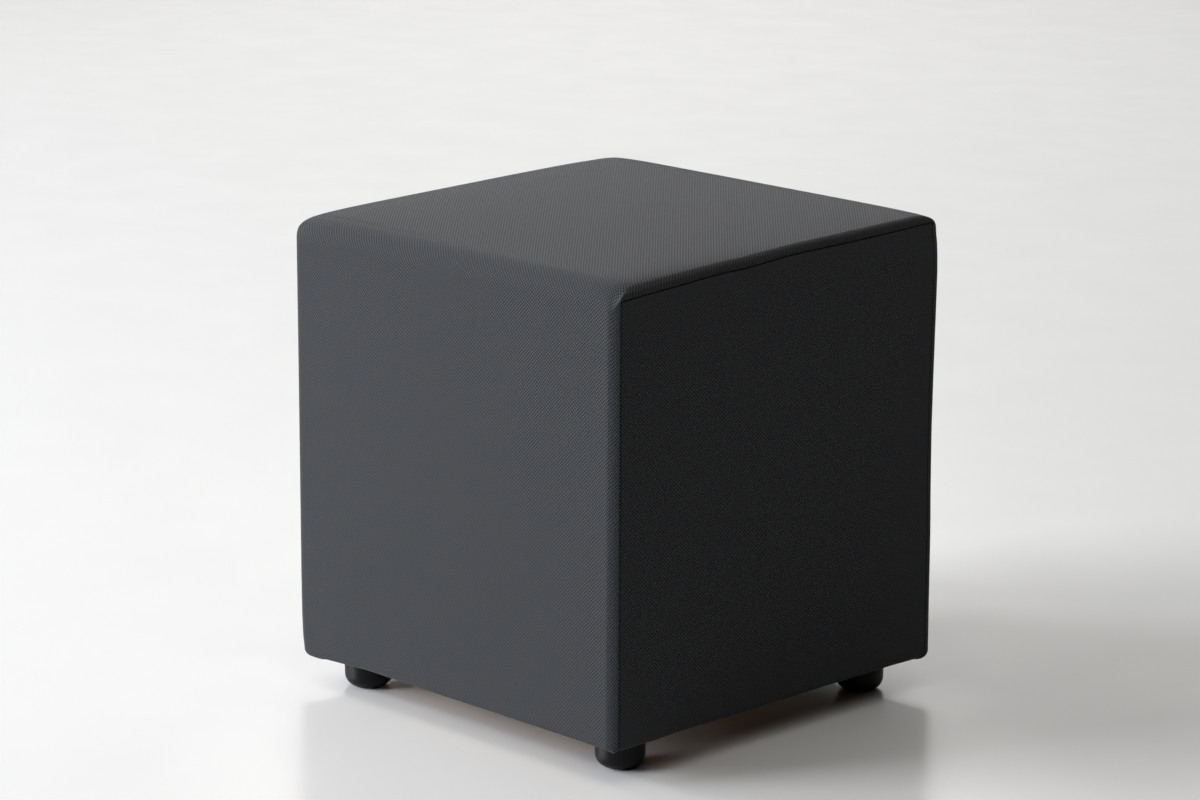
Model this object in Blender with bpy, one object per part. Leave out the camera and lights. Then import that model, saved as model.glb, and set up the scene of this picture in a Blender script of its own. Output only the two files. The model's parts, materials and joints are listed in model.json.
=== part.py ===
"""Cube pouf stool: a foam-filled cube in grey woven cloth on four round moulded feet.

One strip of cloth falls over the front, the seat and the back in a soft, seamless roll.
A cut panel is sewn in on each side, and every hem is turned under a wood-fibre base board.

Frame: +Z up, origin on the floor under the middle of the stool.  The wrap falls down the
-Y and +Y faces, and the sewn panels are the +X and -X faces.  All lengths are in metres.
"""
import math

import bmesh
import bpy

# ---------------------------------------------------------------- driving dimensions
WIDTH = 0.420               # X, across the two sewn side panels
DEPTH = 0.420               # Y, across the two falls of the wrap
SEAT_HEIGHT = 0.455         # floor to the crowned middle of the seat
SEAT_FALL = 0.0084          # the seat is this much lower along its -Y edge than along +Y
SEAT_CROWN = 0.0035         # rise of the seat's middle over its edges
SIDE_DRAW = 0.0012          # how far all four sides pull in at half height

SEAM_ROLL = 0.0090          # radius over the edges that end in a sewn seam
SEAM_ROLL_DRIFT = 0.14      # that radius grows by this share towards -Y, and shrinks towards +Y
FALL_ROLL = 0.0225          # radius of the soft edges where the wrap falls over
HEM_ROLL = 0.0055           # radius where the cloth turns under the base
HEM_MARGIN = 0.036          # width of the turned-under cloth
SEAM_INSET = 0.0102         # seam lines, in from the side faces' edges
SEAM_GAP = 0.0011           # visible width of the groove along a seam
SEAM_DEPTH = 0.0028         # depth of the bed that a side panel lies in
PANEL_CROWN = 0.0009        # how far a side panel stands proud at its middle
PANEL_MARGIN = 0.030        # width of the panel's turned-under hem

BOARD_THICKNESS = 0.012
BOARD_INSET = 0.0008        # the board's face lies this far above the turned-under cloth

FOOT_HEIGHT = 0.034
FOOT_RADIUS = 0.0230
FOOT_TAPER = 0.0006         # the foot narrows this much down its straight side
FOOT_EDGE = 0.0120          # radius of the foot's rounded lower edge

CLEARANCE = 0.0003          # gap between pieces that touch

# Each upright corner: its place, its radius in plan, how far the top corner settles and how
# far the folded hem hangs below the hem line.
CORNERS = (
    # name,   x,  y,  radius, settle, hang
    ("front", 1, -1, 0.0095, 0.0028, 0.0026),
    ("right", 1, 1, 0.0098, 0.0022, 0.0030),
    ("back", -1, 1, 0.0098, 0.0033, 0.0026),
    ("left", -1, -1, 0.0098, 0.0054, 0.0030),
)
# Foot centres, screwed on by hand a few millimetres unevenly.
FEET = (
    # name,        x,       y
    ("front", 0.1675, -0.1565),
    ("right", 0.1635, 0.1615),
    ("back", -0.1640, 0.1610),
    ("left", -0.1610, -0.1650),
)
SETTLE_REACH = 0.022        # how quickly a settled top corner fades along the edges
HANG_REACH = 0.016          # the same for a folded hem corner

# ---------------------------------------------------------------- mesh density
CORNER_STEPS = 5            # facets round an upright corner
SIDE_COLUMNS = 12           # columns across a sewn side, between its seams
FALL_COLUMNS = 12           # columns across a fall of the wrap
SIDE_ROWS = 10              # rows up a side
ROLL_ROWS = 6               # rows over a top edge
HEM_ROWS = 3                # rows round the hem's turn
SEAT_RINGS = (0.07, 0.2, 0.4, 0.65, 0.85)   # rings of the seat, from its edge to its middle
FOOT_FACETS = 32
FOOT_EDGE_STEPS = 5

HALF_X = WIDTH / 2.0
HALF_Y = DEPTH / 2.0
HEM_Z = FOOT_HEIGHT
EDGE_Z = SEAT_HEIGHT - SEAT_CROWN
BODY_HEIGHT = EDGE_Z - HEM_Z

# ---------------------------------------------------------------- colours
CLOTH_GREY = (0.075, 0.085, 0.095, 1.0)
BOARD_BROWN = (0.36, 0.20, 0.10, 1.0)
FOOT_BLACK = (0.010, 0.010, 0.011, 1.0)


def clear_scene():
    """Remove every object that the file starts with."""
    for thing in list(bpy.data.objects):
        bpy.data.objects.remove(thing, do_unlink=True)


def finish(name, colour, roughness):
    """A plain material with one colour."""
    material = bpy.data.materials.new(name)
    material.use_nodes = True
    shader = material.node_tree.nodes["Principled BSDF"]
    shader.inputs["Base Color"].default_value = colour
    shader.inputs["Roughness"].default_value = roughness
    shader.inputs["Metallic"].default_value = 0.0
    return material


def make_object(name, bm, material):
    """Turn a bmesh into a named object, with its faces pointing out."""
    bmesh.ops.recalc_face_normals(bm, faces=bm.faces)
    mesh = bpy.data.meshes.new(name)
    bm.to_mesh(mesh)
    bm.free()
    mesh.materials.append(material)
    mesh.shade_smooth()
    mesh.set_sharp_from_angle(angle=math.radians(35.0))
    thing = bpy.data.objects.new(name, mesh)
    bpy.context.scene.collection.objects.link(thing)
    return thing


# ---------------------------------------------------------------- the stool's outline
def corner_arc(corner):
    """Points and outward directions round one upright corner, anticlockwise."""
    _, side_x, side_y, radius, _, _ = corner
    start = math.atan2(side_y, side_x) - math.pi / 4.0
    points = []
    for step in range(CORNER_STEPS + 1):
        angle = start + math.pi / 2.0 * step / CORNER_STEPS
        nx = math.cos(angle)
        ny = math.sin(angle)
        x = side_x * (HALF_X - radius) + radius * nx
        y = side_y * (HALF_Y - radius) + radius * ny
        points.append((x, y, nx, ny))
    return points


def seamed_columns():
    """Y of the columns on a sewn side, with a close pair at each seam's wall."""
    wall = HALF_Y - SEAM_INSET
    bed = wall - SEAM_GAP / 2.0
    inner = [bed * (2.0 * i / SIDE_COLUMNS - 1.0) for i in range(SIDE_COLUMNS + 1)]
    return [-wall] + inner + [wall]


def fall_columns():
    """X of the columns on a fall of the wrap, between its upright corners."""
    reach = HALF_X - SEAM_INSET
    return [reach * (2.0 * i / FALL_COLUMNS - 1.0) for i in range(FALL_COLUMNS + 1)]


def outline():
    """The stool's plan, anticlockwise from the front corner: x, y, outward x, outward y."""
    points = []
    for corner in CORNERS:
        points += corner_arc(corner)
        name = corner[0]
        if name == "front":
            points += [(HALF_X, y, 1.0, 0.0) for y in seamed_columns()]
        elif name == "right":
            points += [(x, HALF_Y, 0.0, 1.0) for x in reversed(fall_columns())]
        elif name == "back":
            points += [(-HALF_X, y, -1.0, 0.0) for y in reversed(seamed_columns())]
        else:
            points += [(x, -HALF_Y, 0.0, -1.0) for x in fall_columns()]
    return points


# ---------------------------------------------------------------- the stool's skin
def corner_fade(x, y, reach, amounts):
    """The largest share of a corner's amount that reaches this place."""
    total = 0.0
    for (_, side_x, side_y, *_rest), amount in zip(CORNERS, amounts):
        away = math.hypot(x - side_x * HALF_X, y - side_y * HALF_Y)
        total = max(total, amount * math.exp(-away / reach))
    return total


def lift(x, y, z):
    """Height after the seat's fall, its settled corners and the hanging hem corners."""
    up = max(0.0, (z - HEM_Z) / BODY_HEIGHT)
    z += up * SEAT_FALL / 2.0 * (y / HALF_Y)
    settle = corner_fade(x, y, SETTLE_REACH, [corner[4] for corner in CORNERS])
    hang = corner_fade(x, y, HANG_REACH, [corner[5] for corner in CORNERS])
    return z - settle * up ** 4 - hang * (1.0 - min(up, 1.0)) ** 12


def skin_rows():
    """Rows of the skin from under the base to the seat: kind and place along that kind."""
    rows = [("under", 1.0), ("under", 0.5)]
    rows += [("hem", i / HEM_ROWS) for i in range(HEM_ROWS)]
    rows += [("side", i / SIDE_ROWS) for i in range(SIDE_ROWS)]
    rows += [("side", 1.0 - SEAM_GAP / 2.0 / BODY_HEIGHT), ("side", 1.0)]
    rows += [("roll", i / ROLL_ROWS) for i in range(1, ROLL_ROWS + 1)]
    rows += [("seat", ring) for ring in SEAT_RINGS]
    return rows


def skin_point(column, row, depth=0.0, margin=HEM_MARGIN):
    """A point of the skin, or of a surface that lies depth below it."""
    x, y, nx, ny = column
    kind, place = row
    seam_roll = SEAM_ROLL * (1.0 - SEAM_ROLL_DRIFT * y / HALF_Y)
    roll = seam_roll * nx * nx + FALL_ROLL * ny * ny
    crown = 0.0
    if kind == "under":
        in_x = HEM_ROLL + (margin - HEM_ROLL) * place
        in_y = in_x
        z = HEM_Z
        tilt = -math.pi / 2.0
    elif kind == "hem":
        tilt = -math.pi / 2.0 * (1.0 - place)
        in_x = HEM_ROLL * (1.0 - math.cos(tilt))
        in_y = in_x
        z = HEM_Z + HEM_ROLL * (1.0 + math.sin(tilt))
    elif kind == "side":
        low = HEM_Z + HEM_ROLL
        z = low + (EDGE_Z - roll - low) * place
        in_x = SIDE_DRAW * math.sin(math.pi * place)
        in_y = in_x
        tilt = 0.0
    elif kind == "roll":
        tilt = math.pi / 2.0 * place
        in_x = seam_roll * (1.0 - math.cos(tilt))
        in_y = FALL_ROLL * (1.0 - math.cos(tilt))
        z = EDGE_Z - roll * (1.0 - math.sin(tilt))
    else:
        tilt = math.pi / 2.0
        in_x = seam_roll + (HALF_X - seam_roll) * place
        in_y = FALL_ROLL + (HALF_Y - FALL_ROLL) * place
        z = EDGE_Z
        crown = SEAT_CROWN
    in_x += depth * math.cos(tilt)
    in_y += depth * math.cos(tilt)
    z -= depth * math.sin(tilt)
    px = x * (1.0 - in_x / HALF_X)
    py = y * (1.0 - in_y / HALF_Y)
    u = px / (HALF_X - seam_roll)
    v = py / (HALF_Y - FALL_ROLL)
    z += crown * max(0.0, 1.0 - u * u) * max(0.0, 1.0 - v * v)
    return (px, py, lift(px, py, z))


def in_bed(column, row):
    """True on the bed of a side panel, inside its seams."""
    _, y, nx, _ = column
    kind, place = row
    across = abs(nx) > 0.999 and abs(y) < HALF_Y - SEAM_INSET - SEAM_GAP / 4.0
    below = kind in ("under", "hem") or (kind == "side" and place < 1.0)
    return across and below


def bridge(bm, lower, upper):
    """Quads between two closed rings of the same length."""
    count = len(lower)
    for i in range(count):
        j = (i + 1) % count
        bm.faces.new((lower[i], lower[j], upper[j], upper[i]))


# ---------------------------------------------------------------- the pieces
def make_body(material):
    """The filled cube in its wrap, with a bed for each side panel and a pocket for the board."""
    bm = bmesh.new()
    columns = outline()
    rings = []
    for row in skin_rows():
        ring = []
        for column in columns:
            depth = SEAM_DEPTH if in_bed(column, row) else 0.0
            ring.append(bm.verts.new(skin_point(column, row, depth)))
        rings.append(ring)
    for lower, upper in zip(rings, rings[1:]):
        bridge(bm, lower, upper)

    middle = bm.verts.new((0.0, 0.0, SEAT_HEIGHT))
    last = rings[-1]
    for i, vert in enumerate(last):
        bm.faces.new((vert, last[(i + 1) % len(last)], middle))

    pocket_z = HEM_Z + BOARD_INSET + BOARD_THICKNESS + CLEARANCE
    ceiling = [bm.verts.new((vert.co.x, vert.co.y, pocket_z)) for vert in rings[0]]
    bridge(bm, ceiling, rings[0])
    bm.faces.new(list(reversed(ceiling)))
    return make_object("body", bm, material)


def panel_rows():
    """Rows of a side panel, from the end of its hem to the seam under the seat's edge."""
    top = 1.0 - (SEAM_GAP / 2.0 + SEAM_GAP) / BODY_HEIGHT
    rows = [("under", 1.0), ("under", 0.5)]
    rows += [("hem", i / HEM_ROWS) for i in range(HEM_ROWS)]
    rows += [("side", top * i / SIDE_ROWS) for i in range(SIDE_ROWS + 1)]
    return rows


def make_side_panel(name, side, material):
    """A sewn-in side panel, a sheet that follows its bed and turns under the base."""
    bm = bmesh.new()
    reach = HALF_Y - SEAM_INSET - SEAM_GAP / 2.0 - SEAM_GAP
    rows = panel_rows()
    outer = []
    inner = []
    for i in range(SIDE_COLUMNS + 1):
        across = 2.0 * i / SIDE_COLUMNS - 1.0
        column = (side * HALF_X, reach * across, side, 0.0)
        outer_strip = []
        inner_strip = []
        for row in rows:
            kind, place = row
            proud = 0.0
            if kind == "side":
                proud = PANEL_CROWN * (1.0 - across ** 4) * math.sin(math.pi * place)
            face = CLEARANCE - proud
            back = SEAM_DEPTH - CLEARANCE
            outer_strip.append(bm.verts.new(skin_point(column, row, face, PANEL_MARGIN)))
            inner_strip.append(bm.verts.new(skin_point(column, row, back, PANEL_MARGIN)))
        outer.append(outer_strip)
        inner.append(inner_strip)
    close_sheet(bm, outer, inner)
    return make_object(name, bm, material)


def close_sheet(bm, outer, inner):
    """Faces of a sheet from its two grids of points, with its four edges closed."""
    for grid in (outer, inner):
        for left, right in zip(grid, grid[1:]):
            for k in range(len(left) - 1):
                bm.faces.new((left[k], right[k], right[k + 1], left[k + 1]))
    rim_outer = grid_rim(outer)
    rim_inner = grid_rim(inner)
    bridge(bm, rim_outer, rim_inner)


def grid_rim(grid):
    """The border of a grid of points, as one closed loop."""
    loop = [strip[0] for strip in grid]
    loop += grid[-1][1:]
    loop += [strip[-1] for strip in reversed(grid[:-1])]
    loop += list(reversed(grid[0][1:-1]))
    return loop


def make_base_board(material):
    """The board in the pocket under the filling, which the feet are screwed to."""
    bm = bmesh.new()
    low = HEM_Z + BOARD_INSET
    under = ("under", 1.0)
    scale_x = 1.0 - CLEARANCE / (HALF_X - HEM_MARGIN)
    scale_y = 1.0 - CLEARANCE / (HALF_Y - HEM_MARGIN)
    flat = [skin_point(column, under, 0.0) for column in corner_outline()]
    bottom = [bm.verts.new((x * scale_x, y * scale_y, low)) for x, y, _ in flat]
    top = [bm.verts.new((x * scale_x, y * scale_y, low + BOARD_THICKNESS)) for x, y, _ in flat]
    bridge(bm, bottom, top)
    bm.faces.new(list(reversed(bottom)))
    bm.faces.new(top)
    return make_object("base_board", bm, material)


def corner_outline():
    """Only the corner arcs of the stool's plan."""
    points = []
    for corner in CORNERS:
        points += corner_arc(corner)
    return points


def foot_profile():
    """Half of the foot's section, from the middle of its sole to the middle of its top."""
    top = FOOT_HEIGHT - CLEARANCE
    sole_radius = FOOT_RADIUS - FOOT_TAPER - FOOT_EDGE
    profile = [(sole_radius, 0.0)]
    for i in range(1, FOOT_EDGE_STEPS + 1):
        angle = math.pi / 2.0 * i / FOOT_EDGE_STEPS
        radius = sole_radius + FOOT_EDGE * math.sin(angle)
        profile.append((radius, FOOT_EDGE * (1.0 - math.cos(angle))))
    profile.append((FOOT_RADIUS, top))
    return profile


def make_foot(name, centre_x, centre_y, material):
    """A round moulded foot with a large rounded lower edge."""
    bm = bmesh.new()
    rings = []
    for radius, z in foot_profile():
        ring = []
        for i in range(FOOT_FACETS):
            angle = 2.0 * math.pi * i / FOOT_FACETS
            x = centre_x + radius * math.cos(angle)
            y = centre_y + radius * math.sin(angle)
            ring.append(bm.verts.new((x, y, z)))
        rings.append(ring)
    for lower, upper in zip(rings, rings[1:]):
        bridge(bm, lower, upper)
    bm.faces.new(list(reversed(rings[0])))
    bm.faces.new(rings[-1])
    return make_object(name, bm, material)


def main():
    clear_scene()
    cloth = finish("cloth", CLOTH_GREY, 0.9)
    board = finish("base_board", BOARD_BROWN, 0.8)
    plastic = finish("foot_plastic", FOOT_BLACK, 0.35)
    make_body(cloth)
    make_side_panel("side_panel_right", 1.0, cloth)
    make_side_panel("side_panel_left", -1.0, cloth)
    make_base_board(board)
    for name, centre_x, centre_y in FEET:
        make_foot("foot_" + name, centre_x, centre_y, plastic)


main()
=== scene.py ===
"""Cube pouf stool: the finished look of every piece, built round the stool's solids.

The filled cube in its wrap is one padded piece, the two sewn-in side panels are sheets, and
the feet are moulded pieces.  The base board keeps its solid and gets its finish here.
Lengths are in metres, +Z is up, and the wrap falls down the -Y and +Y faces.
"""
import json
import math

import bmesh
import bpy
import numpy as np
from bpy.props import FloatProperty, FloatVectorProperty, IntProperty, PointerProperty
from mathutils import Matrix, Vector, kdtree

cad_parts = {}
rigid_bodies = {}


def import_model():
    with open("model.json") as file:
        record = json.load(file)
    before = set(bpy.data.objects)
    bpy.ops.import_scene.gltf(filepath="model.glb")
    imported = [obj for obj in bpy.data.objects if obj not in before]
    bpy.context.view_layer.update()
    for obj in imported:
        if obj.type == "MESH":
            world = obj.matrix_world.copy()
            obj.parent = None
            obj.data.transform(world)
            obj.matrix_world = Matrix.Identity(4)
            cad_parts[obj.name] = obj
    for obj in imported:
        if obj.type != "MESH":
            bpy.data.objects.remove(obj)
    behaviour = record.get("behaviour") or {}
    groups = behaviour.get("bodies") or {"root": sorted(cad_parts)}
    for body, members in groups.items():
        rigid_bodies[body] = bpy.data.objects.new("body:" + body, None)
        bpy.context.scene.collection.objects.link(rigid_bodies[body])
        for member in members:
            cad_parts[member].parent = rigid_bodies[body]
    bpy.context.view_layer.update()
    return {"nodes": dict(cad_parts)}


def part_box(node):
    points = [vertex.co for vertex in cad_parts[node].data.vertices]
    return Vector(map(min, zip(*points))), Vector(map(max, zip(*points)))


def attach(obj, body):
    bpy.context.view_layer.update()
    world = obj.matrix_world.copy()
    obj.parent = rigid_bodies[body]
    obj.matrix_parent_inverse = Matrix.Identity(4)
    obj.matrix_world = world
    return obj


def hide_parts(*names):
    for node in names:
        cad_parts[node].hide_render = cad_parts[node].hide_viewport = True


bl_info = {
    "name": "Cube Pouf Stool",
    "version": (1, 0, 0),
    "blender": (4, 5, 0),
    "location": "View3D > Sidebar > Pouf",
    "description": "Builds a cloth-covered cube pouf stool with sewn side panels and moulded feet",
    "category": "Object",
}

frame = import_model()
body_low, body_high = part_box("body")
_, board_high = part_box("base_board")
foot_low, foot_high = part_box("foot_front")

# ------------ sizes taken from the frame
HALF_X = (body_high.x - body_low.x) / 2.0
HALF_Y = (body_high.y - body_low.y) / 2.0
CLEARANCE = 0.0003                # gap between pieces that touch
HEM_Z = foot_high.z + CLEARANCE   # the turned-under cloth lies just over the feet
FOOT_RADIUS = (foot_high.x - foot_low.x) / 2.0

# Each upright corner: its place, its radius in plan, how far its top settles, and how much
# is added there to the radius of the hem's turn.
CORNERS = (
    # name,   x,  y,  radius, settle, hem
    ("front", 1, -1, 0.0095, 0.0028, 0.0),
    ("right", 1, 1, 0.0098, 0.0025, 0.0030),
    ("back", -1, 1, 0.0098, 0.0024, 0.0020),
    ("left", -1, -1, 0.0098, 0.0056, 0.0010),
)
TIGHT_CORNER = CORNERS[0][3]      # the smallest of the radii in plan
WIDE_CORNER = CORNERS[1][3]       # the largest of them
FRONT_DRAW = 0.0040               # the -Y fall draws in this much towards the front corner
FRONT_FLATTEN = 0.65              # how far the front corner's round is pressed flat
SETTLE_REACH = 0.022              # how quickly a settled top corner fades
HEM_OPENING = 0.020               # how quickly the hem's wider turn fades from a corner
SEAM_WALL = 0.0006                # width over which a seam drops to the panel's bed
END_FLAT = 0.0002                 # a panel's cut end is rounded all but this much

# How far the folded hem hangs below its line near each corner.  The distance runs from the
# corner's middle, positive along the wrap and negative along the sewn side, in millimetres.
HEM_DROPS = {
    "front": (
        (-86, 0.0), (-60, 0.8), (-30, 0.8), (-10, 0.9), (-6.5, 1.4), (-4, 3.4), (-1, 2.2), (3, 1.2),
        (9, 0.5), (20, 0.3), (40, 0.0)),
    "right": (
        (-45, 0.0), (-28, 0.6), (-14, 0.9), (-9, 2.4), (-2, 3.8), (3, 3.2), (12, 1.4), (30, 0.0)),
    "back": (
        (-34, 0.0), (-14, 0.6), (-5, 2.4), (0, 2.8), (14, 2.4), (19, 1.4), (42, 0.0)),
    "left": (
        (-30, 0.0), (-12, 1.6), (-5, 3.9), (0, 4.6), (16, 4.5), (21, 4.3), (26, 2.9), (36, 2.4),
        (52, 1.6), (68, 1.0), (86, 0.0)),
}
HEM_SLACK = 0.0020                # how far the hem's outer edge hangs everywhere
HEM_DROP_WINDOW = 0.090           # each corner's drops end within this distance of it
HEM_DROP_HEIGHT = 0.030           # a drop has faded this far above the hem
HEM_DROP_REACH = (0.009, 0.015)   # and it fades between these distances inside the faces

# How far the cloth dips along each top seam, by place along Y, in millimetres.
SEAM_DIPS = {
    "right": (
        (-210, 5.9), (-189, 5.6), (-175, 5.3), (-160, 5.2), (-145, 4.7), (-130, 4.2), (-117, 3.9),
        (-100, 3.0), (-85, 2.8), (-70, 2.4), (-50, 2.7), (-30, 2.3), (-12, 1.3), (5, 0.5),
        (20, 0.4), (50, 0.5), (80, 1.1), (110, 1.0), (145, 0.8), (165, 0.5), (180, -0.2),
        (210, -0.5)),
    "left": ((-210, 0.3), (60, 0.3), (130, 0.8), (180, 2.0), (210, 2.6)),
}
DIP_EDGE = 0.004                  # the dip is full within this distance of the side
DIP_REACH = 0.010                 # and this is how quickly it fades across the seat

# How far an uneven upright edge stands out at a height, both in millimetres, height first.
EDGE_SHIFTS = {
    "right": (
        (35, 0.7), (80, 0.6), (150, 0.6), (195, 0.1), (250, -0.2), (300, 0.1), (360, 0.7),
        (400, 1.0), (417, 0.7), (428, 0.2), (435, -0.5), (460, -1.2)),
    "left": (
        (35, -1.4), (48, -0.5), (70, 0.0), (110, 0.2), (220, 0.2), (330, 0.1), (460, 0.0)),
}

# ------------ mesh density
FLAT_STEP = 0.005                 # spacing on the flat parts of the cover
COARSE_STEP = 0.0085              # the same on the mesh that settles as cloth
COARSE_ROUND_STEPS = 4            # and the steps over its rounded corners and edges
ARC_STEPS = 14                    # steps round an upright corner
ROLL_STEPS = 14                   # steps over a top edge
HEM_STEPS = 8                     # steps round the hem's turn
HEM_ROWS = [("under", place) for place in (1.0, 0.66, 0.33)]
HEM_ROWS += [("hem", step / HEM_STEPS) for step in range(HEM_STEPS)]
LIP_STEPS = (-2.2, -1.5, -1.0, -0.75, -0.5, -0.28, -0.12, 0.0, 0.25, 0.6)   # past a seam, mm
PANEL_RIM_STEPS = (0.0, 0.08, 0.25, 0.5, 0.8, 1.2, 2.0)   # inside a panel's rim, mm

# ------------ filling the cover
HELD_RIM = 0.012                  # cloth this near an edge is held while the cover fills
FREE_RAMP = 0.030                 # and it is quite free this much further in
SETTLE_FRAMES = 20                # frames that the filling takes
NEIGHBOURS = 6                    # settled points that move one point of the cover

# ------------ the feet's small forms
SOLE_RIM = 0.0016                 # width of the flat ring that a foot stands on
SOLE_SLOPE = 0.0006               # width of the slope inside that ring
SOLE_DISH = 0.0009                # depth of the dished sole
TOP_BEVEL = 0.0006                # bevel round a foot's upper face

# How far inside and outside the seat's long edges the seat's painted light and shade on its yarns
# fades into the falls' own yarn colours.
PAINTED_SEAT_FADE = (0.028, 0.004)


# ------------ settings
class PoufShape(bpy.types.PropertyGroup):
    """Sizes of the cover's edges, seams and hem."""

    seat_height: FloatProperty(
        name="Seat height", description="Floor to the crowned middle of the seat",
        default=0.455, min=0.3, max=0.6, unit="LENGTH")
    seat_crown: FloatProperty(
        name="Seat crown", description="Rise of the seat's middle over its edges",
        default=0.0035, min=0.0, max=0.03, unit="LENGTH")
    seat_fall: FloatProperty(
        name="Seat fall", description="How much lower the seat lies along -Y than along +Y",
        default=0.0084, min=0.0, max=0.03, unit="LENGTH")
    side_draw: FloatProperty(
        name="Side draw", description="How far the sides pull in at half height",
        default=0.0002, min=0.0, max=0.02, unit="LENGTH")
    seam_roll: FloatProperty(
        name="Seam edge radius", description="Radius of the top edges that end in a seam",
        default=0.0078, min=0.003, max=0.03, unit="LENGTH")
    fall_roll: FloatProperty(
        name="Wrap edge radius", description="Radius of the soft edges where the wrap falls",
        default=0.0225, min=0.005, max=0.06, unit="LENGTH")
    hem_roll: FloatProperty(
        name="Hem radius", description="Radius where the cloth turns under the base",
        default=0.0055, min=0.001, max=0.02, unit="LENGTH")
    hem_margin: FloatProperty(
        name="Hem margin", description="Width of the wrap's turned-under cloth",
        default=0.036, min=0.01, max=0.1, unit="LENGTH")
    panel_margin: FloatProperty(
        name="Panel hem margin", description="Width of the side panels' turned-under cloth",
        default=0.030, min=0.01, max=0.1, unit="LENGTH")
    seam_inset: FloatProperty(
        name="Seam inset", description="Seam lines, in from the edges of the side faces",
        default=0.0102, min=0.003, max=0.04, unit="LENGTH")
    seam_gap: FloatProperty(
        name="Seam gap", description="Width of the dark line between the two cloths",
        default=0.0007, min=0.0003, max=0.005, unit="LENGTH")
    seam_depth: FloatProperty(
        name="Seam depth", description="Depth of the bed that a side panel lies in",
        default=0.0028, min=0.001, max=0.01, unit="LENGTH")
    lip_radius: FloatProperty(
        name="Lip radius", description="Radius over which each cloth turns into a seam",
        default=0.0010, min=0.0003, max=0.004, unit="LENGTH")
    panel_crown: FloatProperty(
        name="Panel crown", description="How far a side panel stands proud at its middle",
        default=0.0009, min=0.0, max=0.01, unit="LENGTH")
    swell: FloatProperty(
        name="Cover swell", description="Most that the filling pushes the cover out",
        default=0.0012, min=0.0, max=0.01, unit="LENGTH")


class PoufCloth(bpy.types.PropertyGroup):
    """Colour and weave of the cover."""

    light_yarn: FloatVectorProperty(
        name="Light yarn", description="Colour of the yarns that run up the falls",
        default=(0.0427, 0.0463, 0.0516), size=3, min=0.0, max=1.0, subtype="COLOR")
    dark_yarn: FloatVectorProperty(
        name="Dark yarn", description="Colour of the yarns that run across",
        default=(0.0122, 0.0133, 0.0148), size=3, min=0.0, max=1.0, subtype="COLOR")
    # Painted light: on the seat the light yarns' colour is scaled by this share, standing in for
    # the side-lit crowns of its weave.
    seat_painted_light: FloatProperty(
        name="Seat light", description="Share of the light yarns' colour on the flat-lying seat",
        default=1.07, min=0.0, max=2.0)
    # Painted shade: on the seat the dark yarns' colour is scaled by this share, standing in for the
    # shade between the side-lit yarns of its weave.
    seat_painted_shade: FloatProperty(
        name="Seat dark", description="Share of the dark yarns' colour on the flat-lying seat",
        default=0.33, min=0.0, max=2.0)
    repeat: FloatProperty(
        name="Weave repeat", description="Length of one over-and-under of the weave",
        default=0.00345, min=0.0005, max=0.02, unit="LENGTH")
    relief: FloatProperty(
        name="Weave relief", description="Height of a yarn over the gap beside it",
        default=0.00036, min=0.0, max=0.002, unit="LENGTH")


class PoufFeet(bpy.types.PropertyGroup):
    """Size and finish of the moulded feet."""

    edge_radius: FloatProperty(
        name="Foot edge radius", description="Radius of the foot's rounded lower edge",
        default=0.0120, min=0.001, max=0.02, unit="LENGTH")
    taper: FloatProperty(
        name="Foot taper", description="How much the foot narrows down its side",
        default=0.0006, min=0.0, max=0.01, unit="LENGTH")
    colour: FloatVectorProperty(
        name="Foot colour", description="Colour of the moulded plastic",
        default=(0.004, 0.004, 0.0044), size=3, min=0.0, max=1.0, subtype="COLOR")
    facets: IntProperty(
        name="Foot facets", description="Facets round a foot", default=96, min=16, max=256)


class PoufStage(bpy.types.PropertyGroup):
    """Floor, light and camera."""

    floor_colour: FloatVectorProperty(
        name="Floor colour", description="Colour of the painted floor",
        default=(0.42, 0.42, 0.42), size=3, min=0.0, max=1.0, subtype="COLOR")
    light: FloatProperty(
        name="Light", description="Brightness of all the lamps together",
        default=1.0, min=0.0)
    wall: FloatProperty(
        name="Wall brightness", description="Brightness of the pale wall behind, at the left",
        default=0.37, min=0.0)
    room: FloatProperty(
        name="Room brightness", description="Brightness of the rest of the room",
        default=0.0, min=0.0)
    lens: FloatProperty(
        name="Lens", description="Focal length on a 36 mm wide sensor",
        default=121.0, min=20.0, max=300.0, subtype="DISTANCE_CAMERA")


# ------------ small helpers
def deselect_all():
    """Leave nothing selected, so that an operator acts only on its own piece."""
    if bpy.context.object and bpy.context.object.mode != "OBJECT":
        bpy.ops.object.mode_set(mode="OBJECT")
    for thing in bpy.context.view_layer.objects.selected[:]:
        thing.select_set(False)


def make_active(thing):
    """Select one object alone and make it the active one."""
    deselect_all()
    thing.select_set(True)
    bpy.context.view_layer.objects.active = thing


def link_mesh(name, points, faces, cloth_map=None):
    """A mesh object from points and faces, with the cloth's own coordinates if given."""
    mesh = bpy.data.meshes.new(name)
    mesh.from_pydata([tuple(p) for p in points], [], faces)
    if cloth_map is not None:
        layer = mesh.uv_layers.new(name="cloth")
        corners = np.empty(len(mesh.loops), np.int32)
        mesh.loops.foreach_get("vertex_index", corners)
        layer.data.foreach_set("uv", cloth_map[corners].astype(np.float32).ravel())
    mesh.validate()
    thing = bpy.data.objects.new(name, mesh)
    bpy.context.scene.collection.objects.link(thing)
    return thing


def point_outwards(thing):
    """Turn every face outwards."""
    bm = bmesh.new()
    bm.from_mesh(thing.data)
    bmesh.ops.recalc_face_normals(bm, faces=bm.faces)
    bm.to_mesh(thing.data)
    bm.free()


def grid_faces(rows, columns, start=0, closed=False):
    """Quads of a grid of points that is numbered row by row."""
    faces = []
    across = columns if closed else columns - 1
    for r in range(rows - 1):
        low = start + r * columns
        high = low + columns
        for c in range(across):
            d = (c + 1) % columns
            faces.append((low + c, low + d, high + d, high + c))
    return faces


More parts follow.
